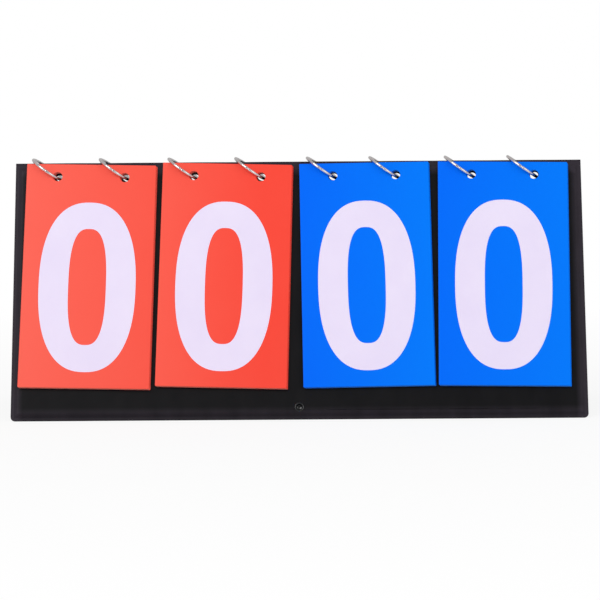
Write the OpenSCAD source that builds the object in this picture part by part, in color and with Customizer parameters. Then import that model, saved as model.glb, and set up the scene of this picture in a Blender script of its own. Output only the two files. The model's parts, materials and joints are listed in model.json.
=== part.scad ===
/* [Panels] */
// Width of the board
panel_w = 382; // [372:1:480]
// Height of one half, from the fold to its lower edge
panel_h = 178; // [168:1:240]
// Angle at which each half leans from the vertical
lean = 21; // [16:1:26]
// Thickness of the stiff board sealed inside each half
board_t = 2; // [1.6:0.1:2.4]
// Thickness of the film round the boards
film_t = 0.35; // [0.3:0.01:0.45]
// Width of the flat welded rim
rim_w = 2.4; // [2:0.1:3.5]
// Width of the slope where the film comes down over the board's edge
slope_w = 2.2; // [1.8:0.1:3]
// Radius of the lower corners
corner_r = 3; // [2:0.1:4]
// Distance from the fold's axis to the lining of each half
fold_gap = 0.6; // [0.5:0.05:0.9]

/* [Cards] */
// Width of a number card
card_w = 87; // [80:1:90]
// Height of a number card
card_h = 155; // [130:0.5:157]
// Thickness of a number card
card_t = 0.3; // [0.25:0.01:0.35]
// Radius of a card's corners
card_r = 0.8; // [0.5:0.1:4]
// Cards in a stack, numbered from 0
card_count = 10; // [10]
// Gap between one stack and the next
stack_gap = 5.4; // [4:0.1:8]
// Distance from the fold to a card's top edge
card_drop = 2; // [1.6:0.1:2.4]
// Distance from a card's top edge to the middle of its holes
hole_inset = 8.8; // [8.6:0.1:9]
// Sideways drift of a stack from its rearmost card to its top card
stack_drift = 0.9; // [0.7:0.1:1]

/* [Rings and holes] */
// Diameter of the ring holes in cards and panels
hole_d = 6.4; // [6.3:0.1:6.8]
// Distance between the two rings of a red stack
red_ring_gap = 45.2; // [40:0.1:50]
// Distance between the two rings of a blue stack
blue_ring_gap = 42.3; // [38:0.1:50]
// Radius of a ring, to the middle of its wire
ring_r = 12; // [11.8:0.1:12.4]
// Diameter of the ring's wire
wire_d = 1.9; // [1.6:0.1:2]
// Angle at which the rings lean to the left
ring_lean = 55; // [45:1:56]

/* [Snap and strap] */
// Distance from the lower edge to the middle of the snap
snap_rise = 8; // [7.5:0.1:12]
// Diameter of the snap's front flange
flange_d = 6.6; // [6.4:0.1:9]
// Diameter of the tube in the middle of the flange
tube_d = 4.4; // [3.4:0.1:4.6]
// Width of the strap
strap_w = 24; // [16:1:40]
// Thickness of the strap
strap_t = 1; // [0.8:0.1:1.2]
// Length of the strap's end where it is welded to the back half
strap_end = 22; // [18:1:30]
// Height of the strap's free end above the lower edge
strap_low = 2; // [1.5:0.1:3]

/* [Hidden] */
STACKS = ["red_left", "red_right", "blue_left", "blue_right"];
SIDES = ["left", "right"];

film_color = [0.09, 0.09, 0.1];
board_color = [0.62, 0.58, 0.5];
red = [0.97, 0.3, 0.24];
blue = [0, 0.44, 0.95];
steel = [0.8, 0.8, 0.82];

// Running gap between a moving piece and its neighbour
run_gap = 0.3;
// How far each stack hangs to the left of its even place, and how far it is turned
stack_shift = [0, 0.7, 0.9, 0];
stack_x = [for (stack = [0:3]) (stack - 1.5) * (card_w + stack_gap) - stack_shift[stack]];
stack_turn = [-1.3, -1.6, 0.75, -0.75];
ring_gap = [red_ring_gap, red_ring_gap, blue_ring_gap, blue_ring_gap];
stack_color = [red, red, blue, blue];

// Heights above the middle plane of the stand, measured square to a half
lining_z = fold_gap;
board_z = lining_z + film_t;
face_z = board_z + board_t + film_t;
edge_w = rim_w + slope_w;
top_rim = 0.5;
fold_z = panel_h * cos(lean) - fold_gap * sin(lean);
hole_drop = card_drop + hole_inset;

// A card's underside: nine lie face to face, and the top one has its running gap
function card_z(n) = face_z + run_gap / 3 + (card_count - 1 - n) * card_t + (n == 0 ? run_gap : 0);
top_z = card_z(0) + card_t;
function drift(n) = -stack_drift * (card_count - 1 - n) / (card_count - 1);
function ring_x(stack, side) = stack_x[stack] + (side == 0 ? -1 : 1) * ring_gap[stack] / 2;

// Where the wire passes the middle of each wall, as y and z in the stand's own frame
function front_point(y, z) = [y * sin(lean) - z * cos(lean), fold_z + y * cos(lean) + z * sin(lean)];
function back_point(y, z) = [-front_point(y, z)[0], front_point(y, z)[1]];
front_hole = front_point(-hole_drop, (lining_z + top_z) / 2);
back_hole = back_point(-hole_drop, (lining_z + face_z) / 2);
chord_mid = (front_hole + back_hole) / 2;
chord_len = norm(back_hole - front_hole);
chord_tilt = atan2(back_hole[1] - front_hole[1], back_hole[0] - front_hole[0]);
ring_rise = sqrt(ring_r * ring_r - chord_len * chord_len / 4);

// Snap: half widths of its pieces, and how deep the strap lies behind the lining
flange_r = flange_d / 2;
cap_r = flange_r + 1.4;
snap_y = -(panel_h - snap_rise);
socket_low = lining_z - 3;
strap_z = socket_low - 0.1 - strap_t / 2;

// The strap's bends, worked out so that its middle stretch lies level
bend_y = snap_y + cap_r + 2.5;
front_bend = front_point(bend_y, strap_z);
back_strap_z = lining_z - run_gap - strap_t / 2;
back_strap_y = (front_bend[1] - fold_z - back_strap_z * sin(lean)) / cos(lean);
back_bend = back_point(back_strap_y, back_strap_z);

module on_front() {
    translate([0, 0, fold_z]) rotate([90 - lean, 0, 0]) children();
}

module on_back() {
    translate([0, 0, fold_z]) rotate([90 - lean, 0, 180]) children();
}

module ring_holes(flip) {
    for (stack = [0:3]) for (side = [0:1])
        translate([flip * ring_x(stack, side), -hole_drop, -1])
            cylinder(d = hole_d, h = face_z + 2, $fn = 40);
}

module snap_hole() {
    translate([0, snap_y, -1])
        cylinder(d = tube_d + 0.1, h = face_z + 2, $fn = 40);
}

// One half's outline with rounded lower corners, drawn from its top edge at y = -top_rim
module half_outline(w, h, r, top) {
    translate([-w / 2, -h + r])
        square([w, h - r - top]);
    translate([-w / 2 + r, -h])
        square([w - 2 * r, r + 0.01]);
    for (end = [-1, 1])
        translate([end * (w / 2 - r), -h + r])
            circle(r = r, $fn = 40);
}

module board() {
    translate([-panel_w / 2 + edge_w, -panel_h + edge_w, board_z])
        cube([panel_w - 2 * edge_w, panel_h - 2 * edge_w, board_t]);
}

module lining() {
    translate([0, 0, lining_z])
        linear_extrude(film_t) half_outline(panel_w, panel_h, corner_r, top_rim);
}

// Film formed over the board: a flat welded rim and four mitred slopes up to the face
module cover() {
    translate([0, 0, board_z])
        linear_extrude(film_t) half_outline(panel_w, panel_h, corner_r, top_rim);
    difference() {
        hull() {
            translate([-panel_w / 2 + rim_w, -panel_h + rim_w, board_z])
                cube([panel_w - 2 * rim_w, panel_h - 2 * rim_w, film_t]);
            translate([-panel_w / 2 + edge_w - film_t, -panel_h + edge_w - film_t, board_z])
                cube([panel_w - 2 * edge_w + 2 * film_t, panel_h - 2 * edge_w + 2 * film_t, face_z - board_z]);
        }
        board();
    }
}

module front_board() {
    color(board_color) on_front() difference() {
        board();
        ring_holes(1);
        snap_hole();
    }
}

module front_cover() {
    color(film_color) on_front() difference() {
        cover();
        board();
        ring_holes(1);
        snap_hole();
    }
}

module front_lining() {
    color(film_color) on_front() difference() {
        lining();
        ring_holes(1);
        snap_hole();
    }
}

module back_board() {
    color(board_color) on_back() difference() {
        board();
        ring_holes(-1);
    }
}

module back_cover() {
    color(film_color) on_back() difference() {
        cover();
        board();
        ring_holes(-1);
    }
}

module back_lining() {
    color(film_color) on_back() difference() {
        lining();
        ring_holes(-1);
    }
}

// The fold's film runs round the axis from one half's rim to the other's
module fold_film() {
    fold_r = lining_z + 2 * film_t;
    reach = 2 * fold_r;
    color(film_color) translate([-panel_w / 2, 0, fold_z]) rotate([90, 0, 90])
        linear_extrude(panel_w) difference() {
            circle(r = fold_r, $fn = 40);
            circle(r = lining_z, $fn = 40);
            translate([-reach, -2 * reach])
                square([2 * reach, 2 * reach]);
            for (half = [0, 1]) mirror([half, 0])
                rotate(lean) translate([0, -reach])
                    square([reach, reach]);
        }
}

// A corner of the strap's profile: the point moved square to the strap, where it turns from one slope to the next
function strap_corner(point, slope, next_slope, way) =
    point + way * strap_t / 2 / cos((next_slope - slope) / 2)
        * [-sin((slope + next_slope) / 2), cos((slope + next_slope) / 2)];

module strap_profile() {
    rise = 90 - lean;
    fall = 90 + lean;
    low_end = front_point(strap_low - panel_h, strap_z);
    high_end = back_point(back_strap_y + strap_end, back_strap_z);
    polygon([
        strap_corner(low_end, rise, rise, 1), strap_corner(front_bend, rise, 0, 1),
        strap_corner(back_bend, 0, fall, 1), strap_corner(high_end, fall, fall, 1),
        strap_corner(high_end, fall, fall, -1), strap_corner(back_bend, 0, fall, -1),
        strap_corner(front_bend, rise, 0, -1), strap_corner(low_end, rise, rise, -1)
    ]);
}

module strap() {
    color(film_color) difference() {
        translate([-strap_w / 2, 0, 0]) rotate([90, 0, 90])
            linear_extrude(strap_w) strap_profile();
        on_front() translate([0, snap_y, strap_z - strap_t])
            cylinder(d = tube_d - 0.4, h = 2 * strap_t, $fn = 40);
    }
}

// A turned piece of the snap, from points of its half section
module turned(points) {
    on_front() translate([0, snap_y, 0])
        rotate_extrude($fn = 48) polygon(points);
}

module snap_post() {
    bore_r = tube_d / 2 - 0.5;
    color([0.12, 0.12, 0.13]) turned([
        [bore_r, lining_z], [tube_d / 2, lining_z], [tube_d / 2, face_z],
        [flange_r, face_z], [flange_r, face_z + 0.25], [flange_r - 0.4, face_z + 0.6],
        [flange_r - 0.8, face_z + 0.6], [bore_r + 0.4, face_z + 0.45], [bore_r, face_z + 0.1]
    ]);
}

module snap_stud() {
    color(steel) turned([
        [0, lining_z], [flange_r, lining_z], [flange_r, lining_z - 0.4], [flange_r - 0.4, lining_z - 0.6],
        [1.7, lining_z - 0.6], [1.7, lining_z - 1.2], [2.1, lining_z - 1.7],
        [1.8, lining_z - 2.3], [0, lining_z - 2.3]
    ]);
}

module snap_socket() {
    socket_r = flange_r + 0.7;
    color(steel) turned([
        [2.2, lining_z - 0.8], [socket_r - 1, lining_z - 0.8], [socket_r, lining_z - 1.6],
        [socket_r, socket_low - 0.1], [0.8, socket_low - 0.1], [0.8, socket_low + 0.3], [2.2, socket_low + 0.3]
    ]);
}

module snap_cap() {
    under = strap_z - strap_t / 2;
    color(steel) turned([
        [0, socket_low - 0.1], [tube_d / 2 - 0.3, socket_low - 0.1], [tube_d / 2 - 0.3, under],
        [cap_r, under], [cap_r, under - 0.4], [cap_r - 1, under - 1.1], [0, under - 1.4]
    ]);
}

module card_outline() {
    top = hole_inset;
    translate([-card_w / 2, top - card_h + card_r])
        square([card_w, card_h - 2 * card_r]);
    translate([-card_w / 2 + card_r, top - card_h])
        square([card_w - 2 * card_r, card_h]);
    for (end = [-1, 1]) for (low = [top - card_h + card_r, top - card_r])
        translate([end * (card_w / 2 - card_r), low])
            circle(r = card_r, $fn = 24);
}

module card(stack, n) {
    color(stack_color[stack]) on_front()
        translate([stack_x[stack] + drift(n), -hole_drop, card_z(n)]) rotate(stack_turn[stack])
            linear_extrude(card_t) difference() {
                card_outline();
                for (end = [-1, 1])
                    translate([end * ring_gap[stack] / 2, 0])
                        circle(d = hole_d, $fn = 40);
            }
}

// A ring leans about the line between the holes that it passes
module ring(stack, side) {
    color(steel) translate([ring_x(stack, side), chord_mid[0], chord_mid[1]])
        rotate([chord_tilt, 0, 0]) rotate([0, -ring_lean, 0])
            translate([0, 0, ring_rise]) rotate([0, 90, 0])
                rotate_extrude($fn = 64) translate([ring_r, 0])
                    circle(d = wire_d, $fn = 24);
}

front_board();
front_cover();
front_lining();
back_board();
back_cover();
back_lining();
fold_film();
strap();
snap_post();
snap_stud();
snap_socket();
snap_cap();
for (stack = [0:3]) for (n = [0:card_count - 1])
    card(stack, n);
for (stack = [0:3]) for (side = [0:1])
    ring(stack, side);
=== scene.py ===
import bpy, bmesh, json
from math import radians, sin, cos, pi, copysign, atan2
from mathutils import Matrix, Vector


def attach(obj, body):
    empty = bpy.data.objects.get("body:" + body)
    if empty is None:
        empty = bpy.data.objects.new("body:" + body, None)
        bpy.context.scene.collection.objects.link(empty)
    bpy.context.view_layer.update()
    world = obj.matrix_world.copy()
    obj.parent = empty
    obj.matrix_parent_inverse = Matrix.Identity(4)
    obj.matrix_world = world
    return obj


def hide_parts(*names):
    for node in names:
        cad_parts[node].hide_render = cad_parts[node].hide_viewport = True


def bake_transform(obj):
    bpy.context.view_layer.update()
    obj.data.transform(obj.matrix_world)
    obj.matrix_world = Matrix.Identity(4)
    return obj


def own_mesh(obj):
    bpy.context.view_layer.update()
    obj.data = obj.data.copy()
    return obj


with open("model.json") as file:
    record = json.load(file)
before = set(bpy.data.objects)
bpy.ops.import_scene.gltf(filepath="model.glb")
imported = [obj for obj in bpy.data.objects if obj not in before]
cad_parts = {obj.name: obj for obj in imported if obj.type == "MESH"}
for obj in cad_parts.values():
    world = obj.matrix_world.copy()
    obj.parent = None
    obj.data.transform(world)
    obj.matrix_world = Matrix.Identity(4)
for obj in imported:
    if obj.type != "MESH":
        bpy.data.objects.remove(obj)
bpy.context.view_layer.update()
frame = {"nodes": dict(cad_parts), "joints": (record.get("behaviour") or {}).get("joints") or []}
mm = 0.001

# the stand, as it is built
stand = {
    "lean": radians(21),
    "halfWidth": 191 * mm,
    "height": 178 * mm,
    "liningDepth": 0.6 * mm,     # from the fold's axis to the lining
    "faceDepth": 3.3 * mm,       # from the fold's axis to the outer face
    "snapHeight": -170 * mm,     # from the fold's axis to the snap
    "snapHole": 2.25 * mm,       # radius
}
foldJoint = next(joint for joint in frame["joints"] if joint["name"] == "fold")
foldPlace = Vector(foldJoint["pos_m"])

# the stacks of cards, from left to right, each hanging a little crooked (degrees)
redGap, blueGap = 45.2 * mm, 42.3 * mm
# each stack's paint carries painted sheen, stronger on the two outer stacks
stacks = [
    {"name": "red_left", "x": -138.6 * mm, "turn": -1.3, "ringGap": redGap, "ink": "red", "sheenPaint": "paleRed"},
    {"name": "red_right", "x": -46.9 * mm, "turn": -1.6, "ringGap": redGap, "ink": "red", "sheenPaint": "deepRed"},
    {"name": "blue_left", "x": 45.3 * mm, "turn": 0.75, "ringGap": blueGap, "ink": "blue", "sheenPaint": "blueFaintSheen"},
    {"name": "blue_right", "x": 138.6 * mm, "turn": -0.75, "ringGap": blueGap, "ink": "blue", "sheenPaint": "blueStrongSheen"},
]
cards = {
    "count": 10,
    "halfWidth": 43.5 * mm,
    "top": 8.8 * mm,             # from the holes to the upper edge
    "foot": -146.2 * mm,         # from the holes to the lower edge
    "wall": 0.3 * mm,
    "holeRadius": 3.2 * mm,
    "holeDrop": 10.8 * mm,       # fold to hole
    "drift": 0.9 * mm,           # how far left of the rearmost card the top one hangs
    "gap": 0.3 * mm,             # between the top card and the next
    "seat": 0.1 * mm,            # between the rearmost card and the cover
    "soft": 0.05 * mm,           # rounding of the cut edges
    "cutEdge": 0.4,              # faces turned further than this from the card's own are its cut edges
}


# a half lies flat in its own frame: x along the fold, y up to it, z out to the cards
def frontPlace():
    return Matrix.Translation(foldPlace) @ Matrix.Rotation(pi / 2 - stand["lean"], 4, "X")


def backPlace():
    around = Matrix.Rotation(pi, 4, "Z")
    return Matrix.Translation(foldPlace) @ around @ Matrix.Rotation(pi / 2 - stand["lean"], 4, "X")


def cardPlace(stack, number):
    # card 0 lies on top, and a card's own frame has its holes on the x axis
    last = cards["count"] - 1
    depth = stand["faceDepth"] + cards["seat"] + (last - number) * cards["wall"]
    if number == 0:
        depth += cards["gap"]
    drift = -cards["drift"] * (last - number) / last
    spot = Matrix.Translation((stack["x"] + drift, -cards["holeDrop"], depth))
    return frontPlace() @ spot @ Matrix.Rotation(radians(stack["turn"]), 4, "Z")


# shader maths on sockets: an expression on wires adds its nodes
class Wire:
    def __init__(self, nodes, socket):
        self.nodes = nodes
        self.socket = socket

    def sums(self, operation, first, second):
        return self.nodes.add("ShaderNodeMath", {"operation": operation}, {0: first, 1: second})

    def __add__(self, other):
        return self.sums("ADD", self, other)

    def __radd__(self, other):
        return self.sums("ADD", other, self)

    def __sub__(self, other):
        return self.sums("SUBTRACT", self, other)

    def __rsub__(self, other):
        return self.sums("SUBTRACT", other, self)

    def __mul__(self, other):
        return self.sums("MULTIPLY", self, other)

    def __rmul__(self, other):
        return self.sums("MULTIPLY", other, self)

    def __abs__(self):
        return self.nodes.add("ShaderNodeMath", {"operation": "ABSOLUTE"}, {0: self})


class Nodes:
    def __init__(self, tree, end):
        self.tree = tree
        self.end = tree.nodes[end]

    def add(self, kind, settings, values, out=0):
        node = self.tree.nodes.new(kind)
        for name, value in settings.items():
            setattr(node, name, value)
        for socket, value in values.items():
            if isinstance(value, Wire):
                self.tree.links.new(value.socket, node.inputs[socket])
            else:
                node.inputs[socket].default_value = value
        return Wire(self, node.outputs[out])

    def feed(self, socket, wire):
        self.tree.links.new(wire.socket, self.end.inputs[socket])


# a material on the plain shader, with the patterns that the finishes are mixed from
class Paint(Nodes):
    def __init__(self, name, **look):
        self.material = bpy.data.materials.new(name)
        self.material.use_nodes = True
        super().__init__(self.material.node_tree, "Principled BSDF")
        for socket, value in look.items():
            self.end.inputs[socket.replace("_", " ")].default_value = value

    def place(self):
        return self.add("ShaderNodeTexCoord", {}, {}, "Object")

    def along(self, axis):
        return self.add("ShaderNodeSeparateXYZ", {}, {0: self.place()}, axis)

    def noise(self, size, detail=3.0, stretch=(1, 1, 1)):
        spot = self.add("ShaderNodeMapping", {}, {"Vector": self.place(), "Scale": stretch})
        return self.add("ShaderNodeTexNoise", {}, {"Vector": spot, "Scale": 1 / size, "Detail": detail})

    def tint(self, share, first, second):
        return self.add("ShaderNodeMix", {"data_type": "RGBA"}, {0: share, 6: first, 7: second}, 2)

    def bump(self, height, depth):
        return self.add("ShaderNodeBump", {}, {"Height": height, "Distance": depth})

    def ramp(self, value, start, end, low=0.0, high=1.0):
        values = {"Value": value, "From Min": start, "From Max": end, "To Min": low, "To Max": high}
        return self.add("ShaderNodeMapRange", {}, values)


# painted sheen: the film is painted paler towards the edges of the stand, from the first place to the second
filmRimSheen = {
    "side": (183 * mm, 188 * mm),
    "crown": (158 * mm, 163 * mm),
    "foot": (9 * mm, 5 * mm),
    "tone": (0.034, 0.028, 0.037, 1),
}


def filmPaint():
    # calendered film: fine pebble grain with a slow waviness and faint scuffs
    paint = Paint("blackFilm", Specular_IOR_Level=0.08)
    grain = paint.noise(0.55 * mm, 2.0)
    wave = paint.noise(28 * mm, 2.0)
    scuff = paint.noise(9 * mm, 5.0, (1, 0.35, 0.35))
    plain = paint.tint(scuff, (0.004, 0.004, 0.005, 1), (0.009, 0.0085, 0.0095, 1))
    # the rims and the lower edge carry painted sheen, a paler tone mottled by the scuffs
    side = paint.ramp(abs(paint.along("X")), *filmRimSheen["side"])
    crown = paint.ramp(paint.along("Z"), *filmRimSheen["crown"])
    foot = paint.ramp(paint.along("Z"), *filmRimSheen["foot"])
    rimSheen = side + crown + foot * 0.5
    paint.feed("Base Color", paint.tint(rimSheen * (0.55 + scuff * 0.9), plain, filmRimSheen["tone"]))
    paint.feed("Roughness", scuff * 0.16 + 0.34)
    paint.feed("Normal", paint.bump(grain * 0.06 + wave * 1.4, 0.5 * mm))
    return paint.material


def cardPaint(name, middle, left, right):
    # coated card: the colour is painted lighter towards one side as sheen, with faint clouds and flecks of tone
    paint = Paint(name, Specular_IOR_Level=0.04)
    cloud = paint.noise(34 * mm, 3.0)
    fleck = paint.noise(0.5 * mm, 2.0)
    across = paint.ramp(paint.along("X"), middle - cards["halfWidth"], middle + cards["halfWidth"])
    paint.feed("Base Color", paint.tint(across * 0.86 + cloud * 0.2 + fleck * 0.08 - 0.07, left, right))
    paint.feed("Roughness", fleck * 0.08 + 0.36)
    paint.feed("Normal", paint.bump(fleck * 0.05 + cloud * 0.9, 0.3 * mm))
    return paint.material


def inkPaint():
    paint = Paint("whiteInk", Specular_IOR_Level=0.1)
    fleck = paint.noise(0.6 * mm, 2.0)
    cloud = paint.noise(25 * mm, 3.0)
    paint.feed("Base Color", paint.tint(cloud, (0.82, 0.735, 0.955, 1), (0.895, 0.815, 1.0, 1)))
    paint.feed("Roughness", fleck * 0.08 + 0.4)
    paint.feed("Normal", paint.bump(fleck, 0.01 * mm))
    return paint.material


def steelPaint():
    # plated wire: drawn lines too fine to see one by one, and a few dull patches
    paint = Paint("ringSteel", Metallic=1.0)
    drawn = paint.noise(0.25 * mm, 2.0)
    dull = paint.noise(3.5 * mm, 4.0)
    paint.feed("Base Color", paint.tint(dull, (0.60, 0.55, 0.55, 1), (0.86, 0.81, 0.80, 1)))
    paint.feed("Roughness", dull * 0.14 + 0.06)
    paint.feed("Normal", paint.bump(drawn, 0.008 * mm))
    return paint.material


def blackMetalPaint():
    paint = Paint("blackLacquer", Specular_IOR_Level=0.5)
    dull = paint.noise(1.2 * mm, 4.0)
    paint.feed("Base Color", paint.tint(dull, (0.004, 0.004, 0.005, 1), (0.012, 0.012, 0.014, 1)))
    paint.feed("Roughness", dull * 0.16 + 0.14)
    paint.feed("Normal", paint.bump(dull, 0.03 * mm))
    return paint.material


def boardPaint():
    paint = Paint("greyBoard", Specular_IOR_Level=0.2)
    fibre = paint.noise(0.8 * mm, 5.0)
    paint.feed("Base Color", paint.tint(fibre, (0.30, 0.27, 0.22, 1), (0.50, 0.46, 0.39, 1)))
    paint.feed("Roughness", fibre * 0.1 + 0.8)
    paint.feed("Normal", paint.bump(fibre, 0.1 * mm))
    return paint.material


# each card colour comes twice: with strong painted sheen for the outer stacks and faint painted sheen for the inner
# ones
deepRedShift = -20 * mm          # the inner red stack's painted sheen is centred further to the left
paints = {
    "film": filmPaint(),
    "paleRed": cardPaint("paleRed", stacks[0]["x"], (1.0, 0.140, 0.101, 1), (0.98, 0.098, 0.066, 1)),
    "deepRed": cardPaint("deepRed", stacks[1]["x"] + deepRedShift, (1.0, 0.128, 0.090, 1), (0.98, 0.071, 0.045, 1)),
    "blueFaintSheen": cardPaint("blueFaintSheen", stacks[2]["x"], (0.0, 0.146, 0.99, 1), (0.0, 0.206, 1.0, 1)),
    "blueStrongSheen": cardPaint("blueStrongSheen", stacks[3]["x"], (0.0, 0.153, 0.99, 1), (0.0, 0.204, 1.0, 1)),
    "redEdge": cardPaint("redEdge", 0, (0.88, 0.30, 0.24, 1), (0.96, 0.40, 0.33, 1)),
    "blueEdge": cardPaint("blueEdge", 0, (0.03, 0.19, 0.70, 1), (0.08, 0.30, 0.80, 1)),
    "ink": inkPaint(),
    "steel": steelPaint(),
    "blackMetal": blackMetalPaint(),
    "board": boardPaint(),
}
print("paints:", len(paints))


def paintFor(node):
    if "_card_" in node:
        return paints["deepRed" if node.startswith("red") else "blueFaintSheen"]
    if "_ring_" in node or node in ("snap_stud", "snap_socket", "snap_cap"):
        return paints["steel"]
    if node == "snap_post":
        return paints["blackMetal"]
    if node.endswith("_board"):
        return paints["board"]
    return paints["film"]


# the solids are painted too: the snap's metal parts behind the lining are shown as they are
for nodeName, nodeObject in frame["nodes"].items():
    nodeObject.data.materials.clear()
    nodeObject.data.materials.append(paintFor(nodeName))
print("nodes painted:", len(frame["nodes"]))


def makeObject(name, form, material):
    mesh = bpy.data.meshes.new(name)
    form.to_mesh(mesh)
    form.free()
    item = bpy.data.objects.new(name, mesh)
    bpy.context.scene.collection.objects.link(item)
    mesh.materials.append(material)
    return item


def makePiece(name, form, material, body, smooth=False):
    piece = makeObject(name, form, material)
    if smooth:
        for face in piece.data.polygons:
            face.use_smooth = True
    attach(piece, body)
    return piece


# flat goods: a plate is a run of outlines, each an inset and a height, from its back round the edge to
# its face; its corners have "arc" steps and its straight sides have "parts"
def outlineLoop(plate, inset):
    left, right, low, high = plate["edges"]
    left, right, low, high = left + inset, right - inset, low + inset, high - inset
    points = []
    spots = [(left, low), (right, low), (right, high), (left, high)]
    for number, (x, y) in enumerate(spots):
        bend = max(plate["rounds"][number] - inset, plate["least"])
        middle = Vector((x + (bend if x == left else -bend), y + (bend if y == low else -bend), 0))
        for step in range(plate["arc"] + 1):
            angle = pi + pi / 2 * number + pi / 2 * step / plate["arc"]
            points.append(middle + Vector((cos(angle), sin(angle), 0)) * bend)
        # the straight run to the next corner
        onward = spots[(number + 1) % 4]
        span = Vector((onward[0] - x, onward[1] - y, 0))
        length = span.length - 2 * bend
        parts = plate["parts"]
        points += [points[-1] + span.normalized() * length * step / parts for step in range(1, parts)]
    return points


def addLoop(form, points, height):
    return [form.verts.new((point.x, point.y, height)) for point in points]


def joinLoops(form, loops):
    for first, second in zip(loops, loops[1:]):
        for step in range(len(first)):
            after = (step + 1) % len(first)
            form.faces.new((first[step], first[after], second[after], second[step]))


def closeEnds(form, loops):
    form.faces.new(loops[0])
    form.faces.new(loops[-1][::-1])
    bmesh.ops.recalc_face_normals(form, faces=form.faces)


def loopEdges(form, loop):
    pairs = [(loop[step - 1], loop[step]) for step in range(len(loop))]
    return [form.edges.get(pair) or form.edges.new(pair) for pair in pairs]


holeSteps = 40


def plateForm(plate):
    form = bmesh.new()
    headings = []
    for step in range(holeSteps):
        angle = 2 * pi * step / holeSteps
        headings.append(Vector((cos(angle), sin(angle), 0)))
    runs = [[addLoop(form, outlineLoop(plate, inset), height) for inset, height in plate["levels"]]]
    for x, y, radius in plate["holes"]:
        run = []
        for wider, height in plate["holeLevels"]:
            points = [Vector((x, y, 0)) + heading * (radius + wider) for heading in headings]
            run.append(addLoop(form, points, height))
        runs.append(run)
    for run in runs:
        joinLoops(form, run)
    for end in plate["filled"]:
        edges = [edge for run in runs for edge in loopEdges(form, run[end])]
        bmesh.ops.triangle_fill(form, use_beauty=True, edges=edges)
    bmesh.ops.recalc_face_normals(form, faces=form.faces)
    return form


def ringHoles(way):
    holes = []
    for stack in stacks:
        for side in (-1, 1):
            x = way * (stack["x"] + side * stack["ringGap"] / 2)
            holes.append((x, -cards["holeDrop"], cards["holeRadius"]))
    return holes


# the film is formed over the board: a welded rim, a soft step up the board's edge, and the face
coverPlate = {
    "edges": (-stand["halfWidth"], stand["halfWidth"], -stand["height"], -0.5 * mm),
    "rounds": (3 * mm, 3 * mm, 0.2 * mm, 0.2 * mm),   # corner radii, round from the lower left
    "least": 0.2 * mm,           # no inset outline has sharper corners
    "arc": 7,
    "parts": 24,
    "levels": [
        (2.4 * mm, 0.96 * mm), (0.1 * mm, 0.96 * mm), (0, 1.03 * mm), (0.02 * mm, 1.2 * mm),
        (0.16 * mm, 1.29 * mm), (0.4 * mm, 1.3 * mm), (1.1 * mm, 1.27 * mm), (1.9 * mm, 1.3 * mm),
        (2.2 * mm, 1.36 * mm), (2.5 * mm, 1.54 * mm), (2.9 * mm, 1.92 * mm), (3.4 * mm, 2.45 * mm),
        (3.8 * mm, 2.82 * mm), (4.2 * mm, 3.09 * mm), (4.6 * mm, 3.23 * mm), (5.1 * mm, 3.29 * mm),
        (5.7 * mm, 3.3 * mm), (6.3 * mm, 3.3 * mm),
    ],
    "holeLevels": [
        (-0.03 * mm, 0.7 * mm), (-0.03 * mm, 2.9 * mm), (0.03 * mm, 3.16 * mm), (0.2 * mm, 3.27 * mm),
        (0.45 * mm, 3.3 * mm), (0.8 * mm, 3.3 * mm),
    ],
    "filled": [-1],
}
# the lining is the same sheet, laid flat on the board's inner side
liningPlate = dict(
    coverPlate,
    levels=[
        (2.4 * mm, 0.94 * mm), (0.1 * mm, 0.94 * mm), (0, 0.88 * mm), (0.02 * mm, 0.7 * mm),
        (0.14 * mm, 0.61 * mm), (0.4 * mm, 0.6 * mm), (1.1 * mm, 0.63 * mm), (2 * mm, 0.6 * mm),
        (2.6 * mm, 0.6 * mm),
    ],
    holeLevels=[
        (-0.02 * mm, 0.9 * mm), (0, 0.72 * mm), (0.12 * mm, 0.62 * mm), (0.4 * mm, 0.6 * mm),
        (0.8 * mm, 0.6 * mm),
    ],
)


def makeHalf(half, place, way, snapHoles):
    for kind, plate in (("cover", coverPlate), ("lining", liningPlate)):
        form = plateForm(dict(plate, holes=ringHoles(way) + snapHoles))
        bmesh.ops.transform(form, matrix=place, verts=form.verts)
        piece = makePiece(half + "_" + kind + "_film", form, paints["film"], half + "_half", True)
        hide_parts(half + "_" + kind)


makeHalf("front", frontPlace(), 1, [(0, stand["snapHeight"], stand["snapHole"])])
makeHalf("back", backPlace(), -1, [])
print("halves made")


def cutLevels(far, near):
    # a die-cut edge, softened on both sides of the card, with two loops of flat card beside it
    wall, soft = cards["wall"], cards["soft"]
    return [(far, 0), (near, 0), (soft, 0), (0, soft), (0, wall - soft), (soft, wall), (near, wall), (far, wall)]


def cardPlate(stack):
    half = stack["ringGap"] / 2
    return {
        "edges": (-cards["halfWidth"], cards["halfWidth"], cards["foot"], cards["top"]),
        "rounds": (0.5 * mm, 0.6 * mm, 0.6 * mm, 0.5 * mm),
        "least": 0.3 * mm,
        "arc": 6,
        "parts": 3,
        "levels": cutLevels(1.2 * mm, 0.5 * mm),
        "holes": [(-half, 0, cards["holeRadius"]), (half, 0, cards["holeRadius"])],
        "holeLevels": cutLevels(0.9 * mm, 0.4 * mm),
        "filled": [0, -1],
    }


def cardBody(stack, number):
    return stack["name"] + "_top_card" if number == 0 else "front_half"


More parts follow.
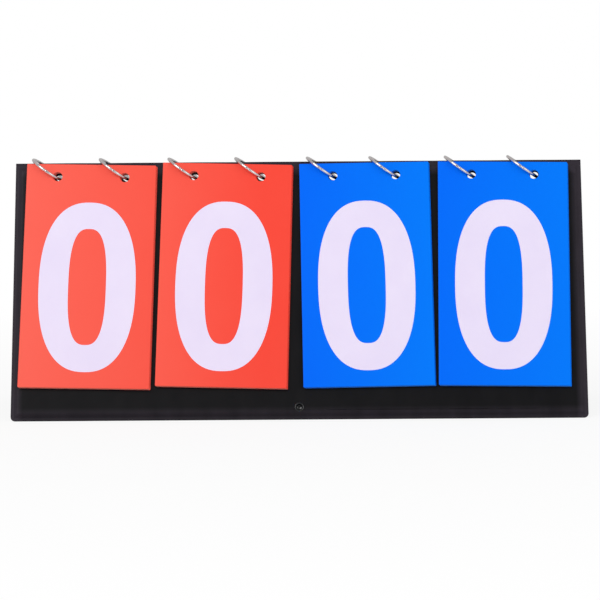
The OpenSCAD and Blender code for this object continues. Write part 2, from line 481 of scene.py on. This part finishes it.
def makeCard(stack, number):
    form = plateForm(cardPlate(stack))
    bmesh.ops.transform(form, matrix=cardPlace(stack, number), verts=form.verts)
    node = stack["name"] + "_card_" + str(number)
    piece = makePiece(node + "_sheet", form, paints[stack["sheenPaint"]], cardBody(stack, number), True)
    # the cut edges show paler stock
    piece.data.materials.append(paints[stack["ink"] + "Edge"])
    outward = cardPlace(stack, number).to_3x3() @ Vector((0, 0, 1))
    for face in piece.data.polygons:
        face.material_index = int(abs(face.normal.dot(outward)) < cards["cutEdge"])
    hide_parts(node)


for stack in stacks:
    for number in range(cards["count"]):
        makeCard(stack, number)
print("cards:", len(stacks) * cards["count"])


# printed digits: the 0 is two nested rounded outlines, the 1 has its own corners, and the others are
# cut from a plain sans letter form
digit = {
    "width": 64.8 * mm,
    "height": 117.4 * mm,
    "innerWidth": 25.2 * mm,
    "innerHeight": 80.4 * mm,
    "outerPower": 2.38,
    "innerPower": 2.75,
    "middle": -76.7 * mm,        # from the holes to the digit's middle
    "steps": 96,
    "lift": 0.012 * mm,          # clear of the card
    "film": 0.02 * mm,           # thickness of the ink
    "bold": 0.022,
}
one = {
    "stem": (1 * mm, 21 * mm),
    "shoulder": 7 * mm,
    "tip": -20 * mm,
    "tipTop": 17 * mm,           # these three are measured down from the top
    "tipFoot": 36 * mm,
    "join": 25 * mm,
}


def roundedPoint(step, width, height, power):
    angle = 2 * pi * step / digit["steps"]
    across = copysign(abs(cos(angle)) ** (2 / power), cos(angle))
    along = copysign(abs(sin(angle)) ** (2 / power), sin(angle))
    return Vector((across * width / 2, along * height / 2, 0))


def zeroForm():
    form = bmesh.new()
    loops = []
    for width, height, power in (
        (digit["width"], digit["height"], digit["outerPower"]),
        (digit["innerWidth"], digit["innerHeight"], digit["innerPower"]),
    ):
        verts = [form.verts.new(roundedPoint(step, width, height, power)) for step in range(digit["steps"])]
        loops += [form.edges.new((verts[step - 1], verts[step])) for step in range(digit["steps"])]
    bmesh.ops.bridge_loops(form, edges=loops)
    return form


def oneForm():
    form = bmesh.new()
    half = digit["height"] / 2
    left, right = one["stem"]
    corners = [
        (left, -half), (right, -half), (right, half), (one["shoulder"], half),
        (one["tip"], half - one["tipTop"]), (one["tip"], half - one["tipFoot"]), (left, half - one["join"]),
    ]
    form.faces.new([form.verts.new((x, y, 0)) for x, y in corners])
    return form


def letterForm(number):
    letter = bpy.data.curves.new("digitForm", "FONT")
    letter.body = str(number)
    letter.offset = digit["bold"]
    letter.resolution_u = 6
    # the letter is made a mesh, centred and brought to the digit's width and height
    holder = bpy.data.objects.new("digitForm", letter)
    bpy.context.scene.collection.objects.link(holder)
    bpy.context.view_layer.update()
    mesh = bpy.data.meshes.new_from_object(holder.evaluated_get(bpy.context.evaluated_depsgraph_get()))
    form = bmesh.new()
    form.from_mesh(mesh)
    bmesh.ops.remove_doubles(form, verts=form.verts, dist=0.0001)
    xs = [vert.co.x for vert in form.verts]
    ys = [vert.co.y for vert in form.verts]
    bmesh.ops.translate(form, verts=form.verts, vec=(-(max(xs) + min(xs)) / 2, -(max(ys) + min(ys)) / 2, 0))
    size = (digit["width"] / (max(xs) - min(xs)), digit["height"] / (max(ys) - min(ys)), 1)
    bmesh.ops.scale(form, verts=form.verts, vec=size)
    bpy.data.objects.remove(holder)
    bpy.data.meshes.remove(mesh)
    bpy.data.curves.remove(letter)
    return form


def digitForm(number):
    form = zeroForm() if number == 0 else oneForm() if number == 1 else letterForm(number)
    bmesh.ops.recalc_face_normals(form, faces=form.faces)
    if form.faces[:] and sum(face.normal.z for face in form.faces) < 0:
        bmesh.ops.reverse_faces(form, faces=form.faces)
    raised = bmesh.ops.extrude_face_region(form, geom=form.faces[:])
    moved = [part for part in raised["geom"] if isinstance(part, bmesh.types.BMVert)]
    bmesh.ops.translate(form, verts=moved, vec=(0, 0, digit["film"]))
    bmesh.ops.recalc_face_normals(form, faces=form.faces)
    return form


def printOn(stack, number):
    # the front of a card shows its number, and its back the next one, for the far side
    place = cardPlace(stack, number)
    front = digitForm(number)
    lift = Matrix.Translation((0, digit["middle"], cards["wall"] + digit["lift"]))
    bmesh.ops.transform(front, matrix=place @ lift, verts=front.verts)
    back = digitForm((number + 1) % cards["count"])
    under = Matrix.Translation((0, digit["middle"], -digit["lift"])) @ Matrix.Rotation(pi, 4, "Y")
    bmesh.ops.transform(back, matrix=place @ under, verts=back.verts)
    spare = bpy.data.meshes.new("spare")
    back.to_mesh(spare)
    back.free()
    front.from_mesh(spare)
    bpy.data.meshes.remove(spare)
    name = stack["name"] + "_print_" + str(number)
    piece = makePiece(name, front, paints["ink"], cardBody(stack, number))


for stack in stacks:
    for number in range(cards["count"]):
        printOn(stack, number)
print("prints:", len(stacks) * cards["count"])

# rings of polished wire, each in two halves that meet in a hairline joint
ring = {
    "radius": 12 * mm,
    "wire": 1.9 * mm,
    "lean": radians(55),
    "steps": 88,
    "around": 20,
    "seam": radians(2.6),        # how much of the circle the joint's groove takes
    "seamDepth": 0.3 * mm,
    "joints": (radians(176), radians(356)),
    "yaw": radians(-3.6),        # each ring stands a little askew in its hole
    "pivot": 1 / 8,              # how much of the chord lies between its middle and the point it turns on
}


def wireLoop(form, angle, wire):
    # a cross section of the wire, at one angle round the ring
    middle = Vector((0, cos(angle), sin(angle))) * ring["radius"]
    out = middle.normalized()
    side = Vector((1, 0, 0))
    loop = []
    for step in range(ring["around"]):
        turn = 2 * pi * step / ring["around"]
        loop.append(form.verts.new(middle + (out * cos(turn) + side * sin(turn)) * wire / 2))
    return loop


def ringForm():
    form = bmesh.new()
    stations = [(2 * pi * step / ring["steps"], ring["wire"]) for step in range(ring["steps"])]
    narrow = ring["wire"] - 2 * ring["seamDepth"]
    for joint in ring["joints"]:
        stations = [spot for spot in stations if abs(spot[0] - joint) > ring["seam"]]
        stations += [(joint - ring["seam"] / 2, ring["wire"]), (joint - ring["seam"] / 4, narrow)]
        stations += [(joint + ring["seam"] / 4, narrow), (joint + ring["seam"] / 2, ring["wire"])]
    loops = [wireLoop(form, angle, wire) for angle, wire in sorted(stations)]
    joinLoops(form, loops + loops[:1])
    bmesh.ops.recalc_face_normals(form, faces=form.faces)
    return form


def chordPlace(x):
    # the line through the holes that a ring passes, from the front half's to the back half's
    top = stand["faceDepth"] + cards["seat"] + cards["count"] * cards["wall"] + cards["gap"]
    front = frontPlace() @ Vector((0, -cards["holeDrop"], (stand["liningDepth"] + top) / 2))
    back = backPlace() @ Vector((0, -cards["holeDrop"], (stand["liningDepth"] + stand["faceDepth"]) / 2))
    line = back - front
    rise = (ring["radius"] ** 2 - line.length_squared / 4) ** 0.5
    middle = (front + back) / 2
    tilt = Matrix.Rotation(atan2(line.z, line.y), 4, "X")
    place = tilt @ Matrix.Rotation(-ring["lean"], 4, "Y")
    askew = Matrix.Rotation(ring["yaw"], 4, "Z")
    pivot = Vector((0, -line.length * ring["pivot"], 0))
    place = place @ Matrix.Translation(pivot) @ askew @ Matrix.Translation(Vector((0, 0, rise)) - pivot)
    return Matrix.Translation((x, middle.y, middle.z)) @ place


for stack in stacks:
    for side, way in (("left", -1), ("right", 1)):
        form = ringForm()
        bmesh.ops.transform(form, matrix=chordPlace(stack["x"] + way * stack["ringGap"] / 2), verts=form.verts)
        name = stack["name"] + "_ring_" + side
        wire = makePiece(name + "_wire", form, paints["steel"], stack["name"] + "_" + side + "_ring", True)
        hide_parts(name)
print("rings:", 2 * len(stacks))

# film that crosses the fold, bent round its axis
fold = {
    "length": 2 * stand["halfWidth"],
    "inner": 0.62 * mm,          # radius of the bend's inside
    "wall": 0.66 * mm,
    "reach": 1.5 * mm,           # how far to each side of the axis the film bends
    "ripple": 0.05 * mm,
    "waves": (9 * mm, 31 * mm),
    "steps": 18,
    "stations": 76,
}


def foldForm():
    form = bmesh.new()
    spread = pi / 2 + stand["lean"]
    rows = []
    for station in range(fold["stations"] + 1):
        x = (station / fold["stations"] - 0.5) * fold["length"]
        wave = fold["ripple"] * sin(x / fold["waves"][0]) * sin(x / fold["waves"][1])
        inside, outside = [], []
        for step in range(fold["steps"] + 1):
            angle = pi / 2 + spread * (1 - 2 * step / fold["steps"])
            heading = Vector((0, cos(angle), sin(angle)))
            calm = 1 - abs(1 - 2 * step / fold["steps"]) ** 2
            inside.append(form.verts.new(foldPlace + Vector((x, 0, 0)) + heading * fold["inner"]))
            outer = fold["inner"] + fold["wall"] - (fold["ripple"] - wave) * calm
            outside.append(form.verts.new(foldPlace + Vector((x, 0, 0)) + heading * outer))
        rows.append(outside + inside[::-1])
    joinLoops(form, rows)
    closeEnds(form, rows)
    return form


def makeFold():
    piece = makeObject("foldFilm", foldForm(), paints["film"])
    for face in piece.data.polygons:
        face.use_smooth = len(face.vertices) == 4
    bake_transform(piece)
    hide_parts("fold_film")


makeFold()

# strap inside: its front end at the snap and the rest both go with the front half
strap = {
    "halfWidth": 12 * mm,
    "wall": 1 * mm,
    "hem": 0.55,                 # how much of the wall is left at the long edges
    "frontDepth": -3 * mm,       # from the fold's axis to the strap's middle, at the snap
    "backDepth": -0.2 * mm,      # and at its welded end
    "low": -176 * mm,            # down the front half to its loose end
    "bend": -162.8 * mm,         # and to where it leaves for the back half
    "backEnd": 22 * mm,          # length of the welded end
    "round": 1.6 * mm,
    "cornerSteps": 7,
    "endSteps": 8,
    "spanSteps": 24,
    "across": 12,
}


def alongStrap():
    # the strap's middle line runs level from the front half to the back half
    front = frontPlace() @ Vector((0, strap["bend"], strap["frontDepth"]))
    height = front.z - foldPlace.z
    backY = (height - strap["backDepth"] * sin(stand["lean"])) / cos(stand["lean"])
    back = backPlace() @ Vector((0, backY, strap["backDepth"]))
    top = backPlace() @ Vector((0, backY + strap["backEnd"], strap["backDepth"]))
    low = frontPlace() @ Vector((0, strap["low"], strap["frontDepth"]))
    return low, front, back, top


def roundedCorner(before, corner, after):
    first = (before - corner).normalized() * strap["round"]
    last = (after - corner).normalized() * strap["round"]
    points = []
    for step in range(strap["cornerSteps"] + 1):
        share = step / strap["cornerSteps"]
        points.append(corner + first * (1 - share) ** 2 + last * share ** 2)
    return points


def straightRun(first, last, steps):
    return [first.lerp(last, step / steps) for step in range(1, steps)]


def bandForm(line):
    # a flat band along the line, thinner at its hems
    form = bmesh.new()
    rows = []
    for number, point in enumerate(line):
        ahead = line[min(number + 1, len(line) - 1)] - line[max(number - 1, 0)]
        up = Vector((1, 0, 0)).cross(ahead.normalized())
        row = []
        for side in (1, -1):
            for step in range(strap["across"] + 1):
                share = 1 - 2 * step / strap["across"]
                x = share * strap["halfWidth"] * side
                thin = strap["wall"] / 2 * (strap["hem"] if abs(share) == 1 else 1)
                row.append(form.verts.new(point + Vector((x, 0, 0)) + up * thin * side))
        rows.append(row)
    joinLoops(form, rows)
    closeEnds(form, rows)
    return form


def makeStrap():
    low, front, back, top = alongStrap()
    bend = roundedCorner(low, front, back)
    turn = roundedCorner(front, back, top)
    half = len(bend) // 2 + 1    # the band is parted in the middle of its lower bend
    tab = [low] + straightRun(low, bend[0], strap["endSteps"]) + bend[:half]
    span = bend[half - 1:] + straightRun(bend[-1], turn[0], strap["spanSteps"]) + turn
    span += straightRun(turn[-1], top, strap["endSteps"]) + [top]
    ends = makePiece("strapTab", bandForm(tab), paints["film"], "front_half", True)
    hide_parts("strap")
    rest = makePiece("strapSpan", bandForm(span), paints["film"], "front_half", True)
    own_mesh(rest)


makeStrap()
print("fold and strap made")

# the snap's post: a rolled bead round a dark bore with a closed bottom
snap = {
    "steps": 56,
    "profile": [                 # radius and height in millimetres: the bore, the bead, the shank
        (0, 0.72), (1.62, 0.72), (1.7, 0.8), (1.72, 2.4), (1.82, 3.0),
        (2.0, 3.34), (2.2, 3.6), (2.4, 3.79), (2.6, 3.88), (2.8, 3.87), (2.96, 3.77), (3.08, 3.62),
        (3.2, 3.49), (3.28, 3.38), (3.26, 3.31), (2.18, 3.31), (2.18, 0.62), (0, 0.62),
    ],
}


def makeSnap():
    form = bmesh.new()
    spots = [form.verts.new((radius * mm, 0, height * mm)) for radius, height in snap["profile"]]
    edges = [form.edges.new(pair) for pair in zip(spots, spots[1:])]
    bmesh.ops.spin(
        form, geom=spots + edges, axis=(0, 0, 1), cent=(0, 0, 0), angle=2 * pi, steps=snap["steps"], use_merge=True,
    )
    bmesh.ops.remove_doubles(form, verts=form.verts, dist=0.001 * mm)
    bmesh.ops.recalc_face_normals(form, faces=form.faces)
    place = frontPlace() @ Matrix.Translation((0, stand["snapHeight"], 0))
    bmesh.ops.transform(form, matrix=place, verts=form.verts)
    post = makePiece("snapPost", form, paints["blackMetal"], "front_half", True)
    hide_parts("snap_post")


makeSnap()

# camera, from the photograph's framing
view = {
    "turn": radians(0.38),
    "rise": radians(5.73),
    "away": 1.948,
    "target": Vector((0.00056, 0, 0.0730)),
    "roll": radians(0.44),
    "focal": 2863,               # in pixels of a frame 600 wide
    "frame": 600,
    "sensor": 36,
}


def makeCamera():
    outward = Vector((
        sin(view["turn"]) * cos(view["rise"]), -cos(view["turn"]) * cos(view["rise"]), sin(view["rise"]),
    ))
    right = (-outward).cross(Vector((0, 0, 1))).normalized()
    up = right.cross(-outward)
    turnedRight = right * cos(view["roll"]) - up * sin(view["roll"])
    turnedUp = right * sin(view["roll"]) + up * cos(view["roll"])
    lens = bpy.data.cameras.new("camera")
    lens.sensor_width = view["sensor"]
    lens.lens = view["focal"] / view["frame"] * view["sensor"]
    lens.clip_start = 0.05
    lens.clip_end = 60
    camera = bpy.data.objects.new("camera", lens)
    axes = Matrix((turnedRight, turnedUp, outward)).transposed().to_4x4()
    camera.matrix_world = Matrix.Translation(view["target"] + outward * view["away"]) @ axes
    bpy.context.scene.collection.objects.link(camera)
    bpy.context.scene.camera = camera


# white all round: the lens sees the full strength and the stand is lit by less
studio = {
    "middle": Vector((0, 0, 0.08)),       # what the lamps point at
    "seenStrength": 1.0,
    "fillStrength": 0.55,
    "floorSize": 14,
    "floorTone": (0.9, 0.9, 0.9, 1),
    "floorFade": (0.15, 0.7),             # from the middle: shadows show near the stand and end further out
    "floorGlow": (0.86, 1.0),             # how much of the floor is plain white at these two distances
    "flagSize": (2.6, 1.5),
    "flagPlace": (0.2, -2.7, 0.35),
}
lamps = [
    {"name": "key", "place": (-1.3, -2.1, 1.8), "size": (1.6, 1.3), "power": 30},
    {"name": "fill", "place": (1.6, -1.7, 0.9), "size": (1.6, 1.6), "power": 9},
]


def makeLamp(name, place, size, power):
    lamp = bpy.data.lights.new(name, "AREA")
    lamp.shape = "RECTANGLE"
    lamp.size, lamp.size_y = size
    lamp.energy = power
    holder = bpy.data.objects.new(name, lamp)
    holder.location = place
    holder.rotation_euler = (studio["middle"] - Vector(place)).to_track_quat("-Z", "Y").to_euler()
    bpy.context.scene.collection.objects.link(holder)


def makeWorld():
    world = bpy.data.worlds.new("studio")
    bpy.context.scene.world = world
    world.use_nodes = True
    nodes = Nodes(world.node_tree, "World Output")
    white = (1, 1, 1, 1)
    fill = nodes.add("ShaderNodeBackground", {}, {"Color": white, "Strength": studio["fillStrength"]})
    seen = nodes.add("ShaderNodeBackground", {}, {"Color": white, "Strength": studio["seenStrength"]})
    direct = nodes.add("ShaderNodeLightPath", {}, {}, "Is Camera Ray")
    through = nodes.add("ShaderNodeLightPath", {}, {}, "Is Transmission Ray")
    either = direct.sums("MAXIMUM", direct, through)
    nodes.feed("Surface", nodes.add("ShaderNodeMixShader", {}, {0: either, 1: fill, 2: seen}))


def makeFloor():
    paint = Paint("paleFloor")
    matte = paint.add("ShaderNodeBsdfDiffuse", {}, {"Color": studio["floorTone"]})
    glow = paint.add("ShaderNodeEmission", {}, {"Strength": 1.0})
    away = paint.add("ShaderNodeVectorMath", {"operation": "LENGTH"}, {0: paint.place()}, "Value")
    share = paint.add("ShaderNodeLightPath", {}, {}, "Is Camera Ray")
    share = share * paint.ramp(away, *studio["floorFade"], *studio["floorGlow"])
    paint.end = paint.tree.nodes["Material Output"]
    paint.feed("Surface", paint.add("ShaderNodeMixShader", {}, {0: share, 1: matte, 2: glow}))
    form = bmesh.new()
    bmesh.ops.create_grid(form, x_segments=1, y_segments=1, size=studio["floorSize"])
    floor = makeObject("floor", form, paint.material)


def makeFlag():
    # a black card beside the lens that only the shiny parts see
    form = bmesh.new()
    bmesh.ops.create_grid(form, x_segments=1, y_segments=1, size=0.5)
    bmesh.ops.scale(form, vec=(*studio["flagSize"], 1), verts=form.verts)
    place = Matrix.Translation(studio["flagPlace"]) @ Matrix.Rotation(pi / 2, 4, "X")
    bmesh.ops.transform(form, matrix=place, verts=form.verts)
    flag = makeObject("flag", form, Paint("blackFlag", Base_Color=(0.01, 0.01, 0.01, 1)).material)
    flag.visible_camera = flag.visible_diffuse = flag.visible_shadow = flag.visible_transmission = False


makeCamera()
makeWorld()
makeFloor()
makeFlag()
for lamp in lamps:
    makeLamp(**lamp)
bpy.context.scene.view_settings.view_transform = "Standard"
print("studio ready")
